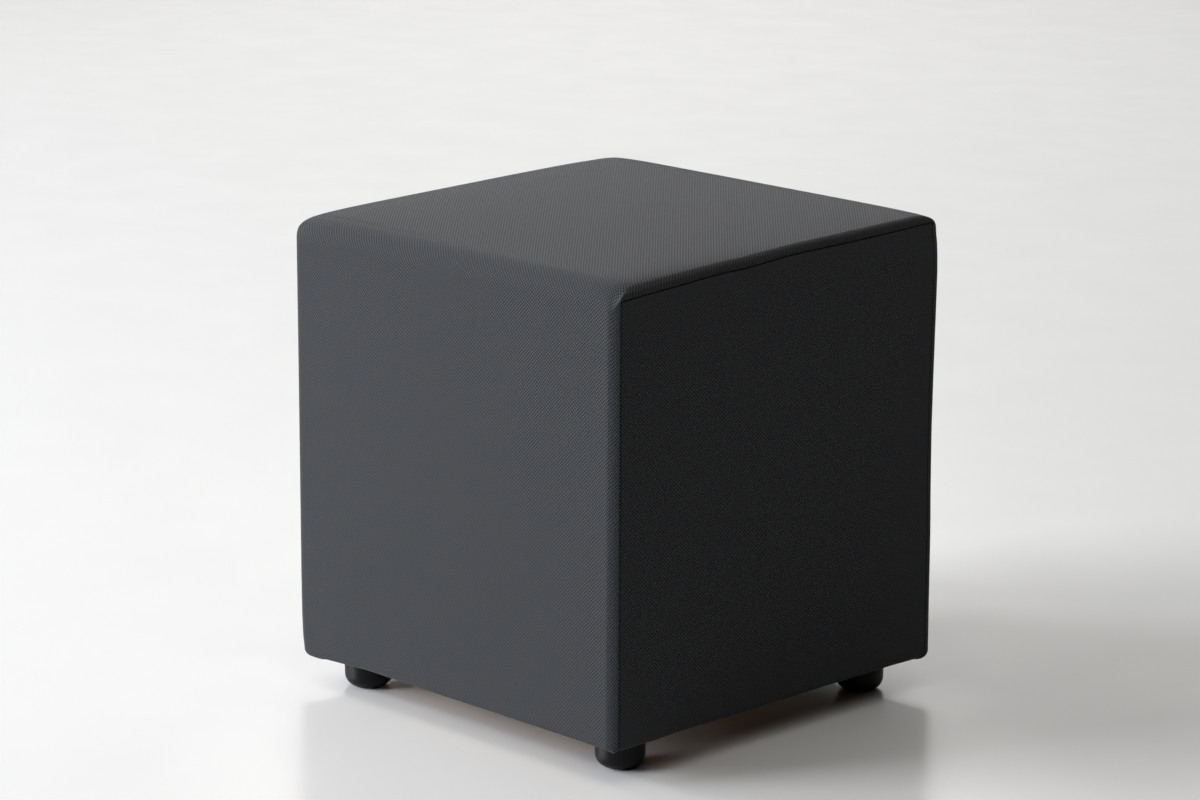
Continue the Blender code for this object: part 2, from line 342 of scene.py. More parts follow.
# ------------ the stool's plan
def plan_columns(shape, flat_step, arc_steps, lips):
    """Columns round the plan, anticlockwise from the front corner's fall side.

    Each has its place, its outward direction, its cloth coordinate across the wrap, its
    share of sewn side (0 on a fall, 1 on a side) and its distance inside the seam line.
    """
    wall = HALF_Y - shape.seam_inset
    columns = []
    for name, side_x, side_y, radius, *_rest in CORNERS:
        flat = FRONT_FLATTEN if name == "front" else 0.0
        arc = []
        for i in range(arc_steps + 1):
            angle = math.pi / 2.0 * i / arc_steps
            nx = side_x * math.sin(angle)
            ny = side_y * math.cos(angle)
            share = i / arc_steps
            out_x = (1 - flat) * math.sin(angle) + flat * share
            out_y = (1 - flat) * math.cos(angle) + flat * (1 - share)
            x = side_x * (HALF_X - radius + radius * out_x)
            y = side_y * (HALF_Y - radius + radius * out_y)
            across = side_x * (HALF_X - radius + radius * angle)
            inside = -(radius * (math.pi / 2.0 - angle) + (HALF_Y - radius) - wall)
            arc.append((x, y, nx, ny, across, share, inside))
        if side_x == side_y:                   # here the outline turns from a side to a fall
            columns += arc[::-1] + fall_columns(side_y, flat_step)
        else:
            columns += arc + side_columns(shape, side_x, flat_step, lips)
    columns = np.array(columns)
    beyond = np.clip((-columns[:, 1] - wall) / shape.seam_inset, 0.0, 1.0)
    columns[:, 1] += beyond * FRONT_DRAW * (columns[:, 0] + HALF_X) / (2.0 * HALF_X)
    return columns


def side_columns(shape, side, flat_step, lips):
    """Columns on a sewn side, from one corner to the other."""
    wall = HALF_Y - shape.seam_inset
    radius = TIGHT_CORNER
    insides = [mm / 1000.0 for mm in lips if mm / 1000.0 > wall - (HALF_Y - radius) + 1e-4]
    first = wall - insides[-1] if insides else wall
    count = round(2.0 * first / flat_step)
    lip = [wall - inside for inside in insides[:-1]]
    places = [-y for y in lip]
    places += [-first + 2.0 * first * i / count for i in range(count + 1)]
    places += reversed(lip)
    found = []
    for y in places:
        beyond = HALF_Y - radius - abs(y)
        across = side * (HALF_X - radius + radius * math.pi / 2.0 + beyond)
        found.append((side * HALF_X, side * y, side, 0.0, across, 1.0, wall - abs(y)))
    return found


def fall_columns(side, flat_step):
    """Columns on a fall of the wrap, between its upright corners."""
    reach = HALF_X - WIDE_CORNER - flat_step / 2.0
    count = round(2.0 * reach / flat_step)
    found = []
    for i in range(count + 1):
        x = -side * (-reach + 2.0 * reach * i / count)
        found.append((x, side * HALF_Y, 0.0, float(side), x, 0.0, -1.0))
    return found


# ------------ the stool's skin
def edge_height(shape):
    """Height of the seat's edges, below its crown."""
    return shape.seat_height - shape.seat_crown


def dip_at_seams(shape, points):
    """Lower the cloth beside the top seams, on the seat side and down the sides alike."""
    x, y, z = points.T
    dips = {name: np.interp(y, *(np.array(knots).T / 1000.0)) for name, knots in SEAM_DIPS.items()}
    inward = np.maximum(0.0, HALF_X - np.abs(x) - DIP_EDGE)
    round_corner = np.clip((np.abs(y) - (HALF_Y - TIGHT_CORNER)) / TIGHT_CORNER, 0.0, 1.0)
    up = np.clip((z - HEM_Z) / (edge_height(shape) - HEM_Z), 0.0, 1.0)
    fade = np.exp(-inward / DIP_REACH) * (1.0 - round_corner ** 2) * up
    lower = points.copy()
    lower[:, 2] -= np.where(x > 0.0, dips["right"], dips["left"]) * fade
    return lower


def hem_radius(shape, x, y):
    """Radius of the hem's turn, which opens towards some of the corners."""
    radius = np.full_like(x, shape.hem_roll)
    for _, side_x, side_y, _, _, wider in CORNERS:
        away = np.hypot(x - side_x * HALF_X, y - side_y * HALF_Y)
        radius = radius + wider * np.exp(-(away / HEM_OPENING) ** 2)
    return radius


def edge_shift(points):
    """Move the uneven upright edges by their own profiles, fading across the faces."""
    x, y, z = points.T
    moved = points.copy()
    for name, side_x, side_y, *_rest in CORNERS:
        if name not in EDGE_SHIFTS:
            continue
        heights, shifts = np.array(EDGE_SHIFTS[name]).T / 1000.0
        share = np.clip((1.0 + side_x * x / HALF_X) * (1.0 + side_y * y / HALF_Y) / 4.0, 0.0, 1.0)
        shift = np.interp(z, heights, shifts) * share ** 2
        moved[:, 0] += side_x * shift
        moved[:, 1] += side_y * shift
    return moved


def hem_drop(x, y):
    """How far the folded hem hangs below its line at this place of the plan."""
    total = np.zeros_like(x)
    for name, side_x, side_y, *_rest in CORNERS:
        knots = np.array(HEM_DROPS[name]) / 1000.0
        a = HALF_X - side_x * x
        b = HALF_Y - side_y * y
        near = (a < HEM_DROP_WINDOW) & (b < HEM_DROP_WINDOW)
        total = np.where(near, np.interp(a - b, knots[:, 0], knots[:, 1]), total)
    inward = np.minimum(HALF_X - np.abs(x), HALF_Y - np.abs(y))
    start, end = HEM_DROP_REACH
    return (total + HEM_SLACK) * np.clip((end - inward) / (end - start), 0.0, 1.0)


def lift(shape, x, y, z):
    """Height after the seat's fall, the settled corners and the hanging hem."""
    edge = edge_height(shape)
    up = np.maximum(0.0, (z - HEM_Z) / (edge - HEM_Z))
    z = z + up * shape.seat_fall / 2.0 * (y / HALF_Y)
    settle = np.zeros_like(x)
    for _, side_x, side_y, _, amount, _ in CORNERS:
        away = np.hypot(x - side_x * HALF_X, y - side_y * HALF_Y)
        settle = np.maximum(settle, amount * np.exp(-away / SETTLE_REACH))
    low = np.clip(1.0 - (z - HEM_Z) / HEM_DROP_HEIGHT, 0.0, 1.0)
    return z - settle * up ** 4 - hem_drop(x, y) * low * low * (3.0 - 2.0 * low)


def skin_row(shape, columns, kind, place, margin):
    """One row of the skin round the plan.

    Gives its points, their outward directions, their cloth coordinates and how far each lies
    below the seam.
    """
    x, y, nx, ny, across, share, _ = columns.T
    edge = edge_height(shape)
    seam_roll = shape.seam_roll
    roll = seam_roll * nx * nx + shape.fall_roll * ny * ny
    hem = hem_radius(shape, x, y)
    low = HEM_Z + hem
    top = edge - roll
    u = across
    turned = hem * math.pi / 2.0
    if kind == "under":
        in_x = in_y = hem + (margin - hem) * place
        z = np.full_like(x, HEM_Z)
        tilt = -math.pi / 2.0
        v = low - turned - (margin - hem) * place
        below = np.ones_like(x)
    elif kind == "hem":
        tilt = -math.pi / 2.0 * (1.0 - place)
        in_x = in_y = hem * (1.0 - math.cos(tilt))
        z = HEM_Z + hem * (1.0 + math.sin(tilt))
        v = low - turned * (1.0 - place)
        below = np.ones_like(x)
    elif kind == "side":
        tilt = 0.0
        z = low + (top - low) * place
        in_x = in_y = np.full_like(x, shape.side_draw * math.sin(math.pi * min(place, 1.0)))
        v = z
        below = top - z
    else:
        tilt = math.pi / 2.0 * place
        in_x = np.full_like(x, seam_roll * (1.0 - math.cos(tilt)))
        in_y = np.full_like(x, shape.fall_roll * (1.0 - math.cos(tilt)))
        z = edge - roll * (1.0 - math.sin(tilt))
        fall_v = top + roll * tilt
        seat_v = seat_middle(shape) - np.abs(y) * (1.0 - in_y / HALF_Y)
        turn = share * share * (3.0 - 2.0 * share) * place
        v = fall_v + (seat_v - fall_v) * turn
        side_u = np.sign(x) * (HALF_X - seam_roll + seam_roll * (math.pi / 2.0 - tilt))
        u = across + (side_u - across) * turn
        below = -roll * tilt
    px = x * (1.0 - in_x / HALF_X)
    py = y * (1.0 - in_y / HALF_Y)
    points = edge_shift(np.column_stack((px, py, lift(shape, px, py, z))))
    level = math.cos(tilt)
    normals = np.column_stack((nx * level, ny * level, np.full_like(x, math.sin(tilt))))
    return points, normals, np.column_stack((u, strip_place(shape, v, y))), below


def seat_middle(shape):
    """Length of the wrap from the floor's level over an edge to the middle of the seat."""
    edge = edge_height(shape)
    return edge - shape.fall_roll + shape.fall_roll * math.pi / 2.0 + HALF_Y - shape.fall_roll


def strip_place(shape, v, y):
    """Place along the wrap, which climbs the -Y fall, crosses the seat and drops down +Y."""
    half = seat_middle(shape)
    return np.where(y <= 0.0, v - half, half - v)


def seam_lip(shape, inside, below):
    """Depth below the skin near a seam: a rounded lip, a wall and the panel's bed."""
    away = np.where((inside < 0) & (below < 0), -np.hypot(inside, below), np.minimum(inside, below))
    radius = shape.lip_radius
    turn = np.clip(away + radius, 0.0, radius)
    lip = radius - np.sqrt(radius * radius - turn * turn)
    wall = np.clip(away / SEAM_WALL, 0.0, 1.0) * (shape.seam_depth - radius)
    return lip + wall


def skin_rows(shape, flat_step, roll_steps, lips):
    """Rows of the cover from the end of the hem to the seat's edge: kind and place."""
    height = edge_height(shape) - HEM_Z - shape.hem_roll
    count = round(height / flat_step)
    belows = sorted((mm / 1000.0 for mm in lips if mm > 0), reverse=True)
    last = 1.0 - (belows[0] if belows else 0.0) / height
    rows = HEM_ROWS + [("side", last * i / count) for i in range(count)]
    rows += [("side", 1.0 - below / height) for below in belows]
    rows += [("side", 1.0)]
    aboves = [-mm / 1000.0 for mm in reversed(lips) if mm < 0]
    near = [above / (shape.seam_roll * math.pi / 2.0) for above in aboves]
    start = near[-1] if near else 0.0
    rows += [("roll", place) for place in near]
    rows += [("roll", start + (1.0 - start) * i / roll_steps) for i in range(1, roll_steps + 1)]
    return rows


def seat_points(shape, ring, arc_steps, columns):
    """A grid of points over the seat that joins the opposite edges of the last ring."""
    front, right, back, left = corner_numbers(arc_steps, columns)
    east = ring[front:right + 1]
    north = ring[right:back + 1][::-1]
    west = ring[back:left + 1][::-1]
    south = np.concatenate((ring[left:], ring[:front + 1]))
    s = ((south[:, 0] - south[0, 0]) / (south[-1, 0] - south[0, 0]))[None, :, None]
    t = ((east[:, 1] - east[0, 1]) / (east[-1, 1] - east[0, 1]))[:, None, None]
    flat = (1 - t) * south[None] + t * north[None] + (1 - s) * west[:, None] + s * east[:, None]
    flat -= (1 - s) * (1 - t) * south[0] + s * (1 - t) * south[-1]
    flat -= (1 - s) * t * north[0] + s * t * north[-1]
    return flat


def corner_numbers(arc_steps, columns):
    """Numbers of the columns at the middle of each upright corner."""
    *_, share, _ = columns.T
    middle = np.flatnonzero(np.abs(share - 0.5) < 0.25 / arc_steps)
    return [int(i) for i in middle]


def cover_mesh(shape, flat_step, arc_steps, roll_steps, lips, with_bed):
    """Points, faces and cloth coordinates of the cover, and how many columns go round it."""
    columns = plan_columns(shape, flat_step, arc_steps, lips)
    *_, inside = columns.T
    rings = []
    cloth = []
    for kind, place in skin_rows(shape, flat_step, roll_steps, lips):
        points, normals, uv, below = skin_row(shape, columns, kind, place, shape.hem_margin)
        if with_bed:
            points = points - normals * seam_lip(shape, inside, below)[:, None]
        rings.append(points)
        cloth.append(uv)
    count = len(columns)
    faces = grid_faces(len(rings), count, closed=True)

    seat = seat_points(shape, rings[-1], arc_steps, columns)
    seat_uv = seat_points(shape, np.column_stack((cloth[-1], np.zeros(count))), arc_steps, columns)
    across = seat[:, :, 0] / (HALF_X - shape.seam_roll)
    along = seat[:, :, 1] / (HALF_Y - shape.fall_roll)
    crown = np.maximum(0.0, 1.0 - across ** 2) * np.maximum(0.0, 1.0 - along ** 2)
    seat[:, :, 2] += shape.seat_crown * crown
    last = (len(rings) - 1) * count
    deep, wide = seat.shape[:2]
    numbers = np.empty((deep, wide), int)
    front, right, back, left = corner_numbers(arc_steps, columns)
    numbers[:, -1] = last + np.arange(front, right + 1)
    numbers[-1, :] = last + np.arange(right, back + 1)[::-1]
    numbers[:, 0] = last + np.arange(back, left + 1)[::-1]
    numbers[0, :] = last + np.concatenate((np.arange(left, count), np.arange(0, front + 1)))
    inner = last + count + np.arange((deep - 2) * (wide - 2))
    numbers[1:-1, 1:-1] = inner.reshape(deep - 2, wide - 2)
    points = np.concatenate((*rings, seat[1:-1, 1:-1].reshape(-1, 3)))
    uv = np.concatenate((*cloth, seat_uv[1:-1, 1:-1, :2].reshape(-1, 2)))
    for near, far in zip(numbers[:-1].tolist(), numbers[1:].tolist()):
        faces += zip(near[:-1], near[1:], far[1:], far[:-1])
    return dip_at_seams(shape, points), faces, uv, count


# ------------ the pieces
def make_cover(shape):
    """The padded cube in its wrap, closed by a pocket for the base board."""
    points, faces, uv, count = cover_mesh(
        shape, FLAT_STEP, ARC_STEPS, ROLL_STEPS, LIP_STEPS, with_bed=True)
    ceiling = board_high.z + CLEARANCE
    rim = points[:count].copy()
    rim[:, 2] = ceiling
    start = len(points)
    points = np.concatenate((points, rim, [[0.0, 0.0, ceiling]]))
    uv = np.concatenate((uv, uv[:count], [[0.0, 0.0]]))
    for i in range(count):
        j = (i + 1) % count
        faces.append((start + i, start + j, j, i))
        faces.append((start + j, start + i, start + count))
    cover = link_mesh("padded_cover", points, faces, uv)
    point_outwards(cover)
    return cover


def settle(shape, cover):
    """Fill the cover: a coarse copy swells as cloth under pressure, held at its edges."""
    points, faces, _, _ = cover_mesh(
        shape, COARSE_STEP, COARSE_ROUND_STEPS, COARSE_ROUND_STEPS, lips=(), with_bed=False)
    copy = link_mesh("settling_cover", points, faces)
    x, y, z = points.T
    from_faces = (HALF_X - np.abs(x), HALF_Y - np.abs(y), shape.seat_height - z)
    from_edge = np.sort(np.column_stack(from_faces), axis=1)[:, 1]
    free = np.clip((np.minimum(from_edge, z - HEM_Z) - HELD_RIM) / FREE_RAMP, 0.0, 1.0)
    held = copy.vertex_groups.new(name="held")
    for number, share in enumerate(free):
        held.add([number], 1.0 - float(share), "REPLACE")
    make_active(copy)
    bpy.ops.object.modifier_add(type="CLOTH")
    cloth = copy.modifiers[-1].settings
    cloth.quality = 4
    cloth.mass = 0.3
    cloth.tension_stiffness = 25.0
    cloth.compression_stiffness = 25.0
    cloth.bending_stiffness = 4.0
    cloth.use_pressure = True
    cloth.uniform_pressure_force = 4.0
    cloth.effector_weights.gravity = 0.0
    cloth.vertex_group_mass = "held"
    for moment in range(1, SETTLE_FRAMES + 1):
        bpy.context.scene.frame_set(moment)
    bpy.ops.object.modifier_apply(modifier=copy.modifiers[-1].name)
    bpy.context.scene.frame_set(1)
    after = np.empty(len(points) * 3)
    copy.data.vertices.foreach_get("co", after)
    push = after.reshape(-1, 3) - points
    furthest = np.linalg.norm(push, axis=1).max()
    spread_push(cover, points, push * (shape.swell / max(furthest, 1e-9)))
    bpy.data.objects.remove(copy)


def spread_push(cover, places, push):
    """Move the cover's points as the nearest points of the settled copy moved."""
    tree = kdtree.KDTree(len(places))
    for number, place in enumerate(places):
        tree.insert(place, number)
    tree.balance()
    for vertex in cover.data.vertices:
        total = Vector((0.0, 0.0, 0.0))
        weight = 0.0
        for _, number, away in tree.find_n(vertex.co, NEIGHBOURS):
            share = math.exp(-(away / COARSE_STEP) ** 2)
            total += share * Vector(push[number])
            weight += share
        if weight > 1e-6:
            vertex.co += total / weight
    cover.data.update()


def make_panel(shape, name, side):
    """A side panel, cut and sewn into the wrap, with rounded rims and its hem turned under."""
    wall = HALF_Y - shape.seam_inset
    reach = wall - shape.seam_gap
    rims = [mm / 1000.0 for mm in PANEL_RIM_STEPS]
    count = round(2.0 * (reach - rims[-1]) / FLAT_STEP)
    ys = [rim - reach for rim in rims[:-1]]
    ys += [(reach - rims[-1]) * (-1.0 + 2.0 * i / count) for i in range(count + 1)]
    ys += [reach - rim for rim in reversed(rims[:-1])]
    columns = np.array([(side * HALF_X, side * y, side, 0.0, side * y, 1.0, 0.0) for y in ys])
    across = columns[:, 1]
    edge_away = reach - np.abs(across)

    height = edge_height(shape) - HEM_Z - shape.hem_roll
    top = 1.0 - shape.seam_gap / height
    tops = [top - rim / height for rim in reversed(rims)]
    steps = round(height / FLAT_STEP)
    rows = HEM_ROWS + [("side", tops[0] * i / steps) for i in range(steps)]
    rows += [("side", place) for place in tops]

    outer = []
    inner = []
    cloth = []
    for kind, place in rows:
        points, normals, _, below = skin_row(shape, columns, kind, place, shape.panel_margin)
        away = np.minimum(edge_away, below - shape.seam_gap if kind == "side" else 1.0)
        if kind == "under":
            from_end = (1.0 - place) * (shape.panel_margin - shape.hem_roll)
            away = np.minimum(away, from_end + END_FLAT)
        radius = shape.lip_radius
        turn = np.clip(radius - away, 0.0, radius)
        face = CLEARANCE / 2.0 + radius - np.sqrt(radius * radius - turn * turn)
        if kind == "side":
            crown = (1.0 - (across / reach) ** 4) * math.sin(math.pi * place)
            face = face - shape.panel_crown * crown
        outer.append(points - normals * face[:, None])
        inner.append(points - normals * (shape.seam_depth - CLEARANCE))
        height_up = cloth_height(shape, kind, place, points)
        cloth.append(np.column_stack((across, strip_place(shape, height_up, -1.0))))
    points = dip_at_seams(shape, np.concatenate(outer + inner))
    uv = np.concatenate(cloth + cloth)
    deep, wide = len(rows), len(columns)
    back = deep * wide
    faces = grid_faces(deep, wide)
    faces += [tuple(reversed(f)) for f in grid_faces(deep, wide, start=back)]
    numbers = np.arange(back).reshape(deep, wide)
    rim = (numbers[0], numbers[1:, -1], numbers[-1, -2::-1], numbers[-2:0:-1, 0])
    loop = np.concatenate(rim).tolist()
    for a, b in zip(loop, loop[1:] + loop[:1]):
        faces.append((b, a, a + back, b + back))
    panel = link_mesh(name, points, faces, uv)
    point_outwards(panel)
    return panel


def cloth_height(shape, kind, place, points):
    """Place up a side panel's cloth, measured round the hem's turn."""
    turned = shape.hem_roll * math.pi / 2.0
    low = HEM_Z + shape.hem_roll
    if kind == "under":
        return np.full(len(points), low - turned - (shape.panel_margin - shape.hem_roll) * place)
    if kind == "hem":
        return np.full(len(points), low - turned * (1.0 - place))
    return points[:, 2]


def make_foot(feet, node):
    """A round moulded foot: a drum with a large rounded lower edge and a dished sole."""
    low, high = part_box(node)
    centre = (low + high) / 2.0
    deselect_all()
    bpy.ops.mesh.primitive_cylinder_add(
        vertices=feet.facets, radius=FOOT_RADIUS, depth=high.z - low.z, location=centre)
    foot = bpy.context.object
    foot.name = node + "_moulded"
    bpy.ops.object.transform_apply(location=True, rotation=True, scale=True)
    bpy.ops.object.mode_set(mode="EDIT")
    bpy.ops.mesh.select_mode(type="FACE")
    select_faces(foot, lambda face: face.normal.z < -0.9)
    shrink = 1.0 - feet.taper / FOOT_RADIUS
    bpy.ops.transform.resize(value=(shrink, shrink, 1.0), center_override=centre)
    bpy.ops.mesh.bevel(offset=feet.edge_radius, segments=12, profile=0.5, affect="EDGES")
    select_faces(foot, lambda face: face.normal.z < -0.999)
    bpy.ops.mesh.inset(thickness=SOLE_RIM)
    bpy.ops.mesh.inset(thickness=SOLE_SLOPE)
    bpy.ops.transform.translate(value=(0.0, 0.0, SOLE_DISH))
    select_faces(foot, lambda face: face.normal.z > 0.9)
    bpy.ops.mesh.bevel(offset=TOP_BEVEL, segments=3, affect="EDGES")
    bpy.ops.object.mode_set(mode="OBJECT")
    bpy.ops.object.shade_smooth_by_angle(angle=math.radians(40.0))
    return foot


def select_faces(thing, wanted):
    """In edit mode, select only the faces that pass a test."""
    bm = bmesh.from_edit_mesh(thing.data)
    for face in bm.faces:
        face.select_set(False)
    for face in bm.faces:
        if wanted(face):
            face.select_set(True)
    bm.select_flush_mode()
    bmesh.update_edit_mesh(thing.data)


# ------------ materials
class Nodes:
    """Short names for the nodes of one material."""

    def __init__(self, name):
        self.material = bpy.data.materials.new(name)
        self.material.use_nodes = True
        self.tree = self.material.node_tree
        self.shader = self.tree.nodes["Principled BSDF"]

    def add(self, kind, values, **settings):
        """A node of one kind, with its settings and what goes into its sockets."""
        node = self.tree.nodes.new(kind)
        for key, setting in settings.items():
            setattr(node, key, setting)
        self.put(node, values)
        return node

    def put(self, node, values):
        """Link or set a node's sockets, by their names or numbers."""
        for key, value in values.items():
            if isinstance(value, bpy.types.NodeSocket):
                self.tree.links.new(value, node.inputs[key])
            else:
                node.inputs[key].default_value = value

    def math(self, operation, *values):
        """One sum, product or other operation."""
        values = dict(enumerate(values))
        return self.add("ShaderNodeMath", values, operation=operation).outputs[0]

    def noise(self, vector, scale, detail=2.0, roughness=0.5):
        """Soft noise at a scale."""
        values = {"Vector": vector, "Scale": scale, "Detail": detail, "Roughness": roughness}
        return self.add("ShaderNodeTexNoise", values).outputs[0]

    def ranged(self, value, low, high, to_low=0.0, to_high=1.0, steps="LINEAR"):
        """A value moved from one range into another."""
        values = dict(enumerate((value, low, high, to_low, to_high)))
        return self.add("ShaderNodeMapRange", values, interpolation_type=steps).outputs[0]

    def colours(self, share, first, second, blend="MIX"):
        """A colour between two colours; the mix node's colour sockets are 6 and 7."""
        values = {0: share, 6: first, 7: second}
        return self.add("ShaderNodeMix", values, data_type="RGBA", blend_type=blend).outputs[2]

    def place(self):
        """The place on a piece, in its own lengths."""
        return self.add("ShaderNodeTexCoord", {}).outputs["Object"]

    def finish(self, colour, roughness, height, relief, strength):
        """Give the shader its colour, its roughness and a bump of a relief in metres."""
        values = {"Height": height, "Distance": relief, "Strength": strength}
        bump = self.add("ShaderNodeBump", values).outputs[0]
        self.put(self.shader, {"Base Color": colour, "Roughness": roughness, "Normal": bump})
        return self.material


def shade(colour, share=1.0):
    """A share of a colour, with the fourth number that a colour socket takes."""
    return (*(share * part for part in colour), 1.0)


def woven_cloth(cloth):
    """Charcoal contract cloth: light and dark yarns that pass over each other in turn."""
    n = Nodes("charcoal_weave")
    place = n.add("ShaderNodeUVMap", {}, uv_map="cloth").outputs[0]
    across, along, _ = n.add("ShaderNodeSeparateXYZ", {0: place}).outputs
    turns = 2.0 * math.pi / cloth.repeat
    stray = n.math("MULTIPLY_ADD", n.noise(place, 300.0), 0.30, -0.15)
    warp_wave = n.math("SINE", n.math("MULTIPLY_ADD", across, turns, stray))
    weft_wave = n.math("SINE", n.math("MULTIPLY_ADD", along, turns, stray))
    crossing = n.math("MULTIPLY", warp_wave, weft_wave)
    over = n.ranged(crossing, -0.28, 0.28, steps="SMOOTHSTEP")
    warp_round = n.math("POWER", n.math("ABSOLUTE", warp_wave), 0.6)
    weft_round = n.math("POWER", n.math("ABSOLUTE", weft_wave), 0.6)

    # Height: the yarn on top, a step where the light yarn is over, fibres and thicker yarn.
    warp_top = n.math("MULTIPLY_ADD", crossing, 0.5, n.math("MULTIPLY", warp_round, 0.6))
    weft_top = n.math("MULTIPLY_ADD", crossing, -0.5, n.math("MULTIPLY", weft_round, 0.6))
    height = n.math("MULTIPLY_ADD", n.math("MAXIMUM", warp_top, weft_top), 0.5, over)
    height = n.math("MULTIPLY_ADD", n.noise(place, 3200.0, 3.0, 0.6), 0.08, height)
    height = n.math("MULTIPLY_ADD", n.noise(place, 380.0, 3.0, 0.55), 0.15, height)

    # Colour: the two yarns, painted shade in the gaps between them, dark specks, a faint warm and
    # cool mottle, and on the seat painted light and shade for its side-lit weave.
    # Painted light and shade on the seat: its light yarns are made lighter and its dark yarns much
    # darker, as the side-lit weave would look.
    inside, outside = PAINTED_SEAT_FADE
    seat = n.ranged(
        n.math("ABSOLUTE", along), HALF_Y - inside, HALF_Y + outside, 1.0, 0.0, "SMOOTHSTEP")
    light = n.colours(seat, shade(cloth.light_yarn), shade(cloth.light_yarn, cloth.seat_painted_light))
    dark = n.colours(seat, shade(cloth.dark_yarn), shade(cloth.dark_yarn, cloth.seat_painted_shade))
    tone = n.colours(over, dark, light)
    # Painted shade: the colour darkens towards black in the gaps between the yarns' crowns, where
    # shade falls.
    painted_gap_shade = n.math("MULTIPLY_ADD", n.math("MULTIPLY", warp_round, weft_round), 0.45, 0.55)
    tone = n.colours(painted_gap_shade, (0.0, 0.0, 0.0, 1.0), tone)
    speckle = n.ranged(n.noise(place, 1100.0, 2.0, 0.7), 0.40, 0.70, 0.0, 0.45)
    tone = n.colours(speckle, tone, dark)
    patch = n.ranged(n.noise(place, 70.0, 3.0, 0.6), 0.30, 0.70)
    mottle = n.colours(patch, (1.05, 0.99, 0.94, 1.0), (0.95, 1.01, 1.06, 1.0))
    tone = n.colours(1.0, tone, mottle, "MULTIPLY")
    n.put(n.shader, {"Specular IOR Level": 0.12, "Sheen Weight": 0.07, "Sheen Roughness": 0.45})
    return n.finish(tone, 0.90, height, cloth.relief, 1.0)


def moulded_plastic(feet):
    """Satin black plastic with the fine even grain of a mould."""
    n = Nodes("moulded_foot_plastic")
    place = n.place()
    wear = n.noise(place, 60.0, 3.0)
    tone = n.colours(wear, shade(feet.colour, 0.8), shade(feet.colour, 1.3))
    rough = n.math("MULTIPLY_ADD", wear, 0.14, 0.33)
    n.put(n.shader, {"Specular IOR Level": 0.16})
    return n.finish(tone, rough, n.noise(place, 2600.0), 0.00004, 0.35)


def fibre_board():
    """Brown wood-fibre board: pressed fibres and a faint mottle."""
    n = Nodes("brown_fibre_board")
    place = n.place()
    fibres = n.noise(place, 900.0, 5.0, 0.7)
    tone = n.colours(fibres, (0.56, 0.32, 0.14, 1.0), (0.85, 0.55, 0.29, 1.0))
    mottle = n.math("MULTIPLY", n.noise(place, 35.0, 3.0), 0.35)
    tone = n.colours(mottle, tone, (0.60, 0.34, 0.15, 1.0))
    return n.finish(tone, 0.72, fibres, 0.0002, 0.5)


def painted_floor(stage):
    """Pale glossy floor paint with a faint unevenness."""
    n = Nodes("painted_floor")
    place = n.place()
    cloud = n.noise(place, 1.3, 3.0)
    tone = n.colours(cloud, shade(stage.floor_colour, 0.99), shade(stage.floor_colour))
    rough = n.math("MULTIPLY_ADD", n.noise(place, 9.0, 4.0), 0.10, 0.16)
    n.put(n.shader, {"Specular IOR Level": 0.16})
    return n.finish(tone, rough, n.noise(place, 14.0, 3.0), 0.0004, 0.25)


def dress(thing, material):
    """Give an object one material, and nothing else."""
    thing.data.materials.clear()
    thing.data.materials.append(material)


# ------------ operators
class POUF_OT_cover(bpy.types.Operator):
    """Build the padded cube in its wrap."""

    bl_idname = "pouf.cover"
    bl_label = "Padded Cover"

    def execute(self, context):
        shape = context.scene.pouf_shape
        cover = make_cover(shape)
        settle(shape, cover)
        cover.data.shade_smooth()
        dress(cover, woven_cloth(context.scene.pouf_cloth))
        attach(cover, "root")
        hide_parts("body")
        return {"FINISHED"}


class POUF_OT_side_panels(bpy.types.Operator):
    """Build the two side panels that are sewn into the wrap."""

    bl_idname = "pouf.side_panels"
    bl_label = "Side Panels"

    def execute(self, context):
        shape = context.scene.pouf_shape
        weave = bpy.data.materials["charcoal_weave"]
        for node, side in (("side_panel_right", 1), ("side_panel_left", -1)):
            panel = make_panel(shape, node + "_sewn", side)
            panel.data.shade_smooth()
            dress(panel, weave)
            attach(panel, "root")
            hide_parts(node)
        return {"FINISHED"}


class POUF_OT_base_board(bpy.types.Operator):
    """Finish the base board."""

    bl_idname = "pouf.base_board"
    bl_label = "Base Board"

    def execute(self, context):
        board = frame["nodes"]["base_board"]
        dress(board, fibre_board())
        return {"FINISHED"}


class POUF_OT_feet(bpy.types.Operator):
    """Build the four moulded feet."""

    bl_idname = "pouf.feet"
    bl_label = "Feet"

    def execute(self, context):
        feet = context.scene.pouf_feet
        plastic = moulded_plastic(feet)
        for name, *_rest in CORNERS:
            node = "foot_" + name
            foot = make_foot(feet, node)
            dress(foot, plastic)
            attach(foot, "root")
            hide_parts(node)
        return {"FINISHED"}


class POUF_OT_stage(bpy.types.Operator):
    """Set the floor, the studio light and the camera."""

    bl_idname = "pouf.stage"
    bl_label = "Stage"

    def execute(self, context):
        stage = context.scene.pouf_stage
        make_floor(stage)
        make_lights(stage)
        make_room(stage)
        make_camera(stage)
        context.scene.view_settings.view_transform = "Standard"
        return {"FINISHED"}


# ------------ the stage
AIM = Vector((-0.0111, -0.0093, 0.2758))     # the point in the middle of the frame
CAMERA_AZIMUTH = math.radians(45.796)
CAMERA_ELEVATION = math.radians(13.857)
CAMERA_DISTANCE = 3.7287
CAMERA_ROLL = math.radians(0.215)
FLOOR_RADIUS = 14.0
WALL_AZIMUTH = math.radians(-110.0)        # where the pale wall stands, behind at the left
WALL_FADE = (0.35, 0.85)          # cosines between which its light comes up
ROOM_COLOUR = (0.88, 0.97, 1.04, 1.0)
TO_FLOOR = Vector((0.001, 0.0, -1.0))      # down, with a trace of X that sets a lamp's turn
TO_WALL = Vector((0.0, 0.77, -0.64))       # down and towards +Y

